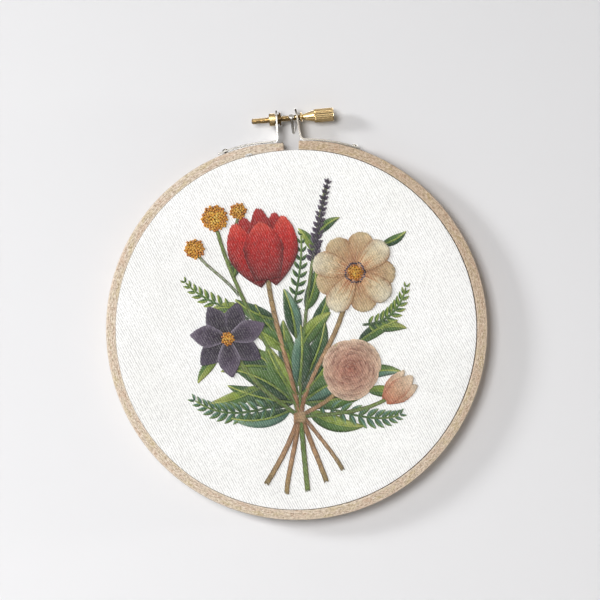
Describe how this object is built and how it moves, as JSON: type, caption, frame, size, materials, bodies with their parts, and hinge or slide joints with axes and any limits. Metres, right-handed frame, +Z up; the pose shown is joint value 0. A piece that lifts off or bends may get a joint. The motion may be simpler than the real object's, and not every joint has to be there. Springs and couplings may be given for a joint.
{
  "type": "embroidered cloth in a wooden screw hoop on a wall nail",
  "caption": "Cloth stretched in a round wooden screw hoop and stitched with a small flower motif, held by its brass thumb screw on a slanted wall nail.",
  "frame": {"origin": "foot of the nail, where its axis meets the wall plane, which is also the plane of the hoop's back", "axes": "+Z up; -Y out of the wall towards the viewer; +X to the viewer's right"},
  "size_m": [0.1614, 0.0095, 0.175],
  "materials": {
    "wood": "bare, sanded smooth, fine speckled grain",
    "cloth": "off-white cotton in a fine diagonal weave",
    "thread": "fine stranded cotton with a soft sheen, in several colours",
    "steel": "bright thin strip",
    "brass": "polished, a little dull in the grooves"
  },
  "bodies": {
    "hoop": {"outer_ring": "wood", "inner_ring": "wood", "cloth": "cloth", "lug_left": "steel", "lug_right": "steel", "rivet_left": "steel", "rivet_right": "steel", "nut": "brass", "wall_nail": "steel"},
    "screw": {"thumb_screw": "brass"}
  },
  "joints": [
    {"name": "screw_turn", "type": "hinge", "parent": "hoop", "child": "screw", "pos_m": [-0.0074, -0.00475, 0.0055], "axis": [0.9958, 0, 0.0918], "range_deg": [-90, 180]}
  ]
}
